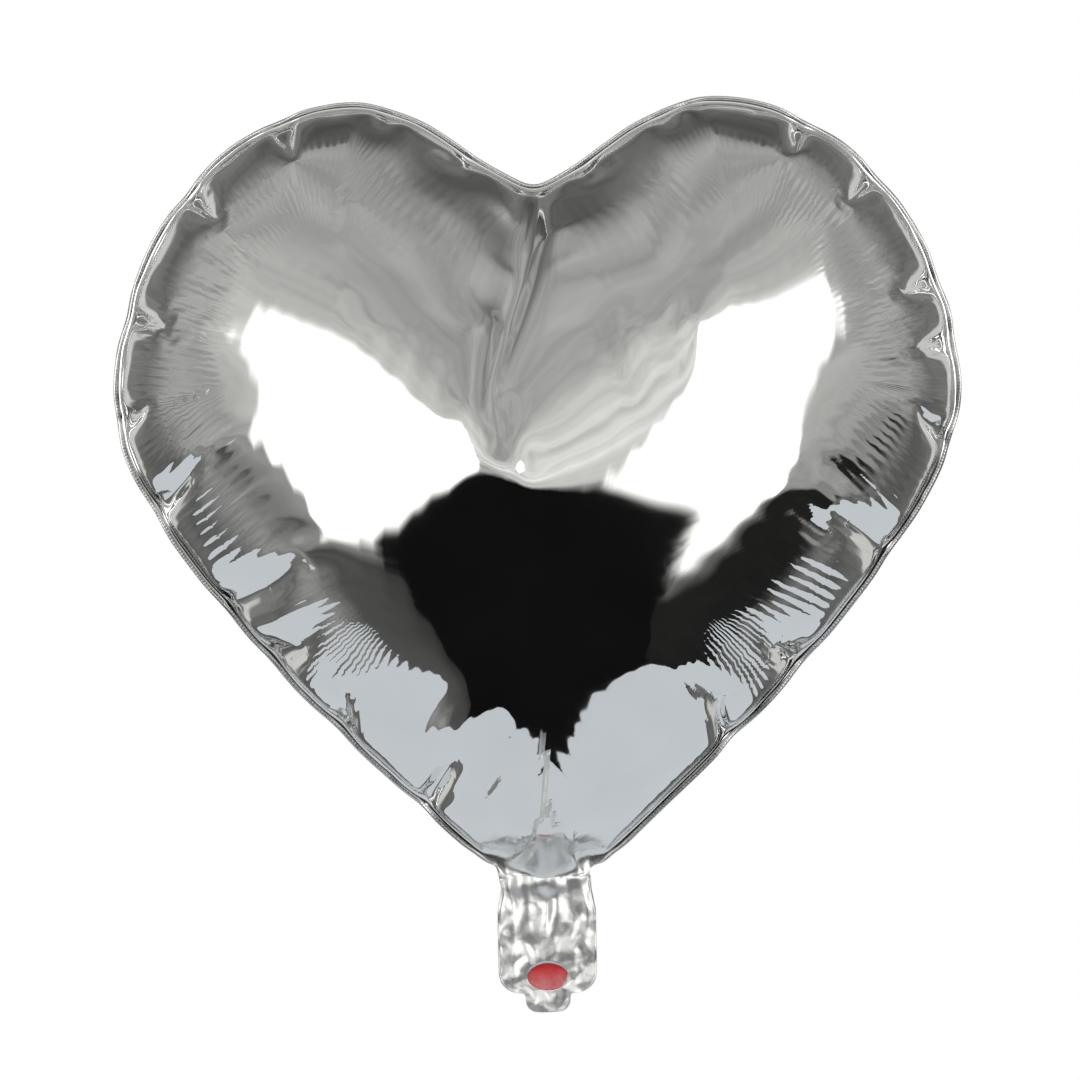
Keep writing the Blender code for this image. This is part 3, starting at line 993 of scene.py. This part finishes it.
def foil_surface(finish):
    """Mirror-bright film: fine ripples run in from the seal, and crumples roughen the tail."""
    surface = Surface("silver_foil_film", Metallic=1.0)
    along = surface.read("along")
    inwards = surface.read("inwards")
    ripple = surface.read("ripple")
    limp = surface.read("limp")
    streaks = surface.node("ShaderNodeCombineXYZ", None, {"X": along * 260.0, "Y": inwards * 14.0, "Z": 0.0})
    uneven = surface.cloudy(streaks, 1.0, 2.0)
    drift = surface.node("ShaderNodeCombineXYZ", None, {"X": along * 40.0, "Y": inwards * 20.0, "Z": 5.0})
    swerve = surface.cloudy(drift, 1.0, 1.0)
    comb = surface.maths("SINE", along * (2 * math.pi / RIPPLE_PITCH) + swerve * 9.0, 0.0)
    facets = surface.node(
        "ShaderNodeTexVoronoi", {"feature": "F1"}, {"Vector": surface.place(), "Scale": 230.0}, "Distance"
    )
    creases = surface.cloudy(surface.place(), 420.0, 3.0, 0.6)
    height = ripple * finish.ripple * (comb * 0.45 + uneven * 1.1)
    height = height + limp * (facets * 0.00016 + creases * 0.00009)
    surface.bumped(height)
    haze = surface.cloudy(surface.place(), 35.0, 4.0)
    surface.feed(surface.shader.inputs["Roughness"], haze * 0.03 + (limp * 0.34 + (finish.gloss - 0.01)))
    dulled = tuple(channel * 0.90 for channel in finish.foil)
    surface.feed(surface.shader.inputs["Base Color"], surface.mixed(haze, dulled, tuple(finish.foil)))
    return surface.material


def seal_surface(finish):
    """The sealed rim: the same foil, matt from the hot bar and finely ribbed across."""
    surface = Surface("crimped_seal", Metallic=1.0)
    ribs = surface.maths("SINE", surface.read("along") * (2 * math.pi / RIB_PITCH), 0.0)
    grain = surface.cloudy(surface.place(), 900.0, 2.0)
    surface.bumped(ribs * 0.00001 + grain * 0.00001)
    surface.feed(surface.shader.inputs["Roughness"], grain * 0.15 + 0.24)
    dulled = tuple(channel * 0.62 for channel in finish.foil)
    surface.feed(surface.shader.inputs["Base Color"], surface.mixed(grain, dulled, tuple(finish.foil)))
    return surface.material


def film_surface(finish):
    """Thin milky film of the valve."""
    surface = Surface("milky_valve_film", Transmission_Weight=0.35, IOR=1.5)
    cloud = surface.cloudy(surface.place(), 160.0, 3.0)
    wrinkles = surface.cloudy(surface.place((1.0, 1.0, 3.0)), 500.0, 2.0)
    surface.bumped(wrinkles * 0.00012)
    surface.feed(surface.shader.inputs["Roughness"], cloud * 0.2 + 0.15)
    shaded = tuple(channel * 0.82 for channel in finish.film)
    surface.feed(surface.shader.inputs["Base Color"], surface.mixed(cloud, shaded, tuple(finish.film)))
    return surface.material


def ink_surface(finish):
    """Red ink on the film: glossy, creased, and paler in blotches towards the bottom of the hole."""
    surface = Surface("red_ink", IOR=1.4, Coat_Weight=0.1)
    blotches = surface.cloudy(surface.place(), 260.0, 3.0, 0.6)
    creases = surface.cloudy(surface.place((1.0, 1.0, 2.0)), 420.0, 3.0, 0.6)
    surface.bumped(creases * 0.0007)
    height = surface.node("ShaderNodeSeparateXYZ", None, {"Vector": surface.place()}, "Z")
    span = {"From Min": PRINT_HIGH.z - 0.003, "From Max": PRINT_LOW.z, "To Min": 0.0, "To Max": 1.3}
    foot = surface.node("ShaderNodeMapRange", None, {"Value": height, **span})
    pale = tuple(0.55 * channel + 0.36 for channel in finish.ink)
    surface.feed(surface.shader.inputs["Base Color"], surface.mixed(foot * blotches, tuple(finish.ink), pale))
    surface.feed(surface.shader.inputs["Roughness"], blotches * 0.2 + 0.28)
    return surface.material


# ---------------------------------------------------------------- pieces


WORK = {}  # the middle surface of the front sheet, which the foil operator leaves for the seals


class BALLOON_OT_foils(bpy.types.Operator):
    """Inflate the envelope and make both sheets of foil, each in one with its half of the tail."""

    bl_idname = "balloon.foils"
    bl_label = "Foil sheets"

    def execute(self, context):
        balloon = context.scene.foil_balloon
        pattern, inflation, finish = balloon.pattern, balloon.inflation, balloon.finish
        envelope, rim = filled_envelope(pattern, inflation)
        material = foil_surface(finish)
        flat = flat_edge(heart_edge(pattern), inflation)
        low, high = flat.min(axis=0), flat.max(axis=0)
        cut = (high[0] - low[0], high[1] - TAIL_LOW.z)
        area = flat_area(flat) + flat_area(tail_edge(pattern))
        for side, name in NAMES.items():
            surface = sheet_surface(envelope, rim, side, pattern, finish)
            if side == FRONT:
                WORK[side] = surface.copy()
            places = places_of(surface)
            inwards = floats_of(surface, "inwards")
            along = floats_of(surface, "along")
            gap = stack_gap(places, inwards)
            move_to(surface, places + normals_of(surface) * gap[:, None])
            put(surface, "ripple", ripple_depth(places, along, inwards, side))
            put(surface, "limp", 1 - eased(places[:, 2], 0.0, CRUMPLE_TOP))
            nodes = (f"{name}_foil", f"tail_{name}_foil")
            made = piece(f"foil_{name}", surface, pattern.film, material, nodes)
        return {"FINISHED"}


def on_heart_rim(face):
    """Whether a face is on the heart's sealed edge, and not across the neck, where the foil runs on."""
    middle = face.calc_center_median()
    across_neck = abs(middle.x) < HALF_TAIL * 0.8 and middle.z < NECK_EDGE + CRUMPLE_TOP / 2
    return face.material_index == RIM_EDGE and not across_neck


def on_left_of_tail(face):
    return face.material_index == TAIL_EDGE and face.calc_center_median().x < 0


def on_right_of_tail(face):
    return face.material_index == TAIL_EDGE and face.calc_center_median().x > 0


class BALLOON_OT_seals(bpy.types.Operator):
    """Make the crimped heat seals round the heart's rim and down both sides of the tail."""

    bl_idname = "balloon.seals"
    bl_label = "Heat seals"

    def execute(self, context):
        balloon = context.scene.foil_balloon
        material = seal_surface(balloon.finish)
        thickness = 2 * (RIM_GAP + balloon.pattern.film)
        strips = {
            "seal_rim": ("edge_seal", on_heart_rim),
            "seal_tail_left": ("tail_seal_left", on_left_of_tail),
            "seal_tail_right": ("tail_seal_right", on_right_of_tail),
        }
        for name, (node, chosen) in strips.items():
            piece(name, only_faces(WORK[FRONT], chosen), thickness, material, (node,))
        return {"FINISHED"}


def extruded_up(bm, edges, rise, steps):
    """Bands of faces above a row of edges, each of that height."""
    for _ in range(steps):
        grown = bmesh.ops.extrude_edge_only(bm, edges=edges)["geom"]
        risen = [item for item in grown if isinstance(item, bmesh.types.BMVert)]
        bmesh.ops.translate(bm, vec=(0, 0, rise), verts=risen)
        grown_edges = [item for item in grown if isinstance(item, bmesh.types.BMEdge)]
        edges = [edge for edge in grown_edges if all(vert in risen for vert in edge.verts)]


def ply_surface(pattern, side, finish):
    """One ply of the valve: a long strip up into the heart, and its mouth in the tail, holed in front."""
    half = PLY_HIGH.x
    bm = bmesh.new()
    across = evenly([(-half, NECK_EDGE), (half, NECK_EDGE)], PLY_TOP_STEPS + 1)
    around = evenly(ply_edge(pattern), PLY_STEPS - PLY_TOP_STEPS + 1)[1:-1]
    outer = np.vstack([across, around])
    hole = hole_edge(pattern, outer[0], PLY_STEPS)
    rings = [ring(bm, outline) for outline in ring_blend(outer, hole, PLY_RINGS)]
    join_rings(bm, rings)
    if side == BACK:
        fill_ring(bm, rings[-1])
    top = [bm.edges.get((here, after)) for here, after in zip(rings[0], rings[0][1:PLY_TOP_STEPS + 1])]
    extruded_up(bm, top, (INNER_HIGH.z - NECK_EDGE) / PLY_LENGTH_STEPS, PLY_LENGTH_STEPS)
    facing(bm, side)
    surface = crumpled(as_mesh(bm, "ply"), finish.crumple)
    move_to(surface, places_of(surface) + normals_of(surface) * PLY_GAP)
    return surface


def strip_surface(low_x, high_x, low_z, high_z, finish):
    """An upright strip in the middle plane that follows the tail's crumples."""
    bm = bmesh.new()
    bmesh.ops.create_grid(bm, x_segments=2, y_segments=STRIP_STEPS, size=0.5)
    for vert in bm.verts:
        x, z = vert.co.x + 0.5, vert.co.y + 0.5
        vert.co = (low_x + (high_x - low_x) * x, 0.0, low_z + (high_z - low_z) * z)
    facing(bm, FRONT)
    return crumpled(as_mesh(bm, "strip"), finish.crumple)


class BALLOON_OT_valve(bpy.types.Operator):
    """Make the two plies of the self-sealing valve and the welds down their sides."""

    bl_idname = "balloon.valve"
    bl_label = "Valve"

    def execute(self, context):
        balloon = context.scene.foil_balloon
        pattern, finish = balloon.pattern, balloon.finish
        material = film_surface(finish)
        weld = 2 * PLY_GAP - pattern.ply - WELD_SPACE
        for side, name in NAMES.items():
            nodes = (f"valve_{name}_ply", f"inner_valve_{name}_ply")
            surface = ply_surface(pattern, side, finish)
            made = piece(f"valve_film_{name}", surface, pattern.ply, material, nodes)
        for name in ("left", "right"):
            low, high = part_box(f"valve_seal_{name}")
            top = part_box(f"inner_valve_seal_{name}")[1].z
            nodes = (f"valve_seal_{name}", f"inner_valve_seal_{name}")
            surface = strip_surface(low.x, high.x, low.z, top, finish)
            piece(f"valve_weld_{name}", surface, weld, material, nodes)
        return {"FINISHED"}


class BALLOON_OT_print(bpy.types.Operator):
    """Make the red heat-resisting print between the valve's plies, seen through the fill hole."""

    bl_idname = "balloon.print"
    bl_label = "Valve print"

    def execute(self, context):
        finish = context.scene.foil_balloon.finish
        middle_z = (PRINT_LOW.z + PRINT_HIGH.z) / 2
        turns = np.linspace(0, -2 * math.pi, PRINT_STEPS, endpoint=False)
        half = (PRINT_HIGH.x, (PRINT_HIGH.z - PRINT_LOW.z) / 2)
        bm = bmesh.new()
        verts = ring(bm, np.column_stack([half[0] * np.cos(turns), middle_z + half[1] * np.sin(turns)]))
        fill_ring(bm, verts)
        facing(bm, FRONT)
        surface = crumpled(as_mesh(bm, "print"), finish.crumple)
        piece("heat_print", surface, PRINT_FILM, ink_surface(finish), ("valve_red_print",))
        return {"FINISHED"}


# ---------------------------------------------------------------- stage


class Backdrop(Surface):
    """The room round the balloon, told by its directions in degrees as the foil sees them."""

    def __init__(self, name):
        self.material = bpy.data.worlds.new(name)
        self.material.use_nodes = True
        self.tree = self.material.node_tree
        self.shader = self.tree.nodes["Background"]
        self.towards = self.node("ShaderNodeTexCoord", output="Generated")
        parts = {"Vector": self.towards}
        x, y, z = (self.node("ShaderNodeSeparateXYZ", None, parts, axis) for axis in "XYZ")
        self.depth = y  # -1 towards the camera, 1 away from it
        self.turn = self.maths("ARCTAN2", x, -y) * (180 / math.pi)  # to the right of the camera
        self.rise = self.node("ShaderNodeMath", {"operation": "ARCSINE"}, {0: z}) * (180 / math.pi)

    def step(self, value, low, high):
        """0 at low, 1 at high, and a smooth step between them."""
        sockets = {"Value": value, "From Min": low, "From Max": high, "To Min": 0.0, "To Max": 1.0}
        return self.node("ShaderNodeMapRange", {"interpolation_type": "SMOOTHSTEP"}, sockets)

    def size(self, value):
        """The value without its sign."""
        return self.node("ShaderNodeMath", {"operation": "ABSOLUTE"}, {0: value})

    def window(self, value, low, high, soft):
        """1 between low and high, falling to 0 over a soft edge."""
        return self.step(value, low - soft, low + soft) * self.step(value, high + soft, high - soft)


def grey_wall(room, streaks):
    """Grey all round, darker below, behind and to the sides, with a glow in front."""
    turn, rise = room.turn, room.rise
    below = room.step(rise, 0.0, -22.0)
    behind = room.step(room.size(turn), 90.0, 165.0)
    beside = room.window(room.depth, 0.05, 0.60, 0.25)
    grey = 0.14 + streaks * 0.50
    grey = grey * (1.0 - below * 0.35) * (1.0 - behind * 0.55)
    grey = grey * (1.0 - beside * 0.5)
    glow = room.window(turn, -44.0, 40.0, 16.0) * room.window(rise, 6.0, 32.0, 14.0)
    return grey + glow * (streaks * 0.95)


def softboxes(room):
    """Two bright ones beside the camera, and two faint ones behind the balloon."""
    turn, rise = room.turn, room.rise
    left = room.window(turn - rise * 0.3, -46.0, -23.0, 2.0) * room.window(rise, -14.0, 25.0, 3.0)
    right = room.window(turn, 22.0, 44.0, 2.0) * room.window(rise, -15.0, 28.0, 3.0)
    rear = room.window(room.size(turn), 134.0, 156.0, 3.0) * room.window(rise, -14.0, 24.0, 3.0)
    return (left + right) * 2.4 + rear * 0.42


def dark_gap(room):
    """How dark the room is below the softboxes: black in the middle, and smoky on both sides."""
    turn, rise = room.turn, room.rise
    smoke = room.cloudy(room.towards, 7.0, 4.0, 0.6)
    swerve = (smoke - 0.5) * 10.0
    brow = room.step(room.size(turn + 3.0), 20.0, 36.0) * 10.0 - room.step(turn, 0.0, 12.0) * 5.0
    gap = room.window(turn + swerve, -36.0, 27.0, 3.0) * room.window(rise + brow, -60.0, -4.0, 2.5)
    wings = room.window(turn + swerve, -66.0, 88.0, 12.0)
    wings = wings * room.window(rise + swerve * 0.4, -60.0, -18.0, 3.0)
    return room.maths("MAXIMUM", gap, wings * (0.72 + room.step(turn, -44.0, -26.0) * 0.24))


def room_light(scene):
    """A white backdrop, which the foil sees as a grey room with softboxes and a dark gap below them."""
    room = Backdrop("room")
    scene.world = room.material
    stretched = {0: room.towards, 1: (1.2, 1.2, 5.0)}
    wide = room.node("ShaderNodeVectorMath", {"operation": "MULTIPLY"}, stretched)
    streaks = room.cloudy(wide, 1.6, 3.0, 0.55)
    dark = dark_gap(room)
    level = (grey_wall(room, streaks) + softboxes(room)) * (1.0 - dark) + dark * 0.004
    tinted = {0: (1.0, 1.0, 0.955), "Scale": level}
    shown = room.node("ShaderNodeVectorMath", {"operation": "SCALE"}, tinted)
    reflected = room.node("ShaderNodeLightPath", output="Is Glossy Ray")
    room.feed(room.shader.inputs["Color"], room.mixed(reflected, (1.0, 1.0, 1.0), shown))


def pale_floor(drop):
    """A round floor that far below the neck."""
    bm = bmesh.new()
    bmesh.ops.create_circle(bm, cap_ends=True, radius=FLOOR_RADIUS, segments=96)
    bmesh.ops.translate(bm, vec=(0, FLOOR_SHIFT, -drop), verts=bm.verts)
    mesh = as_mesh(bm, "floor")
    mesh.materials.append(Surface("pale_floor", Base_Color=(0.60, 0.635, 0.66), Roughness=0.9).material)
    floor = bpy.data.objects.new("floor", mesh)
    bpy.context.scene.collection.objects.link(floor)


class BALLOON_OT_stage(bpy.types.Operator):
    """Make the pale floor, the soft studio light and the camera."""

    bl_idname = "balloon.stage"
    bl_label = "Floor, light and camera"

    def execute(self, context):
        scene = context.scene
        studio = scene.foil_balloon.studio
        scene.view_settings.view_transform = "Standard"
        room_light(scene)
        pale_floor(studio.floor_drop)
        camera = bpy.data.objects.new("camera", bpy.data.cameras.new("camera"))
        camera.location = (0.0, -studio.distance, studio.view_height)
        camera.rotation_euler = (math.pi / 2, studio.view_tilt, 0.0)
        camera.data.angle = 2 * math.atan(studio.view_width / 2 / studio.distance)
        scene.collection.objects.link(camera)
        scene.camera = camera
        return {"FINISHED"}


# ---------------------------------------------------------------- add-on


class FoilBalloon(bpy.types.PropertyGroup):
    """Everything that can be set about the balloon."""

    pattern: PointerProperty(type=BalloonPattern, name="Pattern", description="The cut of the foil")
    inflation: PointerProperty(type=BalloonInflation, name="Inflation", description="How it is blown up")
    finish: PointerProperty(type=BalloonFinish, name="Finish", description="Colours and surfaces")
    studio: PointerProperty(type=BalloonStudio, name="Studio", description="Floor, light and camera")


OPERATORS = (BALLOON_OT_stage, BALLOON_OT_foils, BALLOON_OT_seals, BALLOON_OT_valve, BALLOON_OT_print)


class BALLOON_PT_panel(bpy.types.Panel):
    """Lists the balloon's pieces and its sizes."""

    bl_idname = "BALLOON_PT_panel"
    bl_label = "Foil balloon"
    bl_space_type = "VIEW_3D"
    bl_region_type = "UI"
    bl_category = "Foil balloon"

    def draw(self, context):
        for operator in OPERATORS:
            self.layout.operator(operator.bl_idname)
        balloon = context.scene.foil_balloon
        for group in (balloon.pattern, balloon.inflation, balloon.finish, balloon.studio):
            column = self.layout.box().column()
            for name in group.bl_rna.properties.keys():
                if name not in ("rna_type", "name"):
                    column.prop(group, name)


GROUPS = (BalloonPattern, BalloonInflation, BalloonFinish, BalloonStudio, FoilBalloon)
CLASSES = GROUPS + OPERATORS + (BALLOON_PT_panel,)


def register():
    for item in CLASSES:
        bpy.utils.register_class(item)
    bpy.types.Scene.foil_balloon = PointerProperty(type=FoilBalloon)


def unregister():
    del bpy.types.Scene.foil_balloon
    for item in reversed(CLASSES):
        bpy.utils.unregister_class(item)


def main():
    register()
    bpy.ops.balloon.stage()
    bpy.ops.balloon.foils()
    bpy.ops.balloon.seals()
    bpy.ops.balloon.valve()
    bpy.ops.balloon.print()
    for surface in WORK.values():
        bpy.data.meshes.remove(surface)


if __name__ == "__main__":
    main()
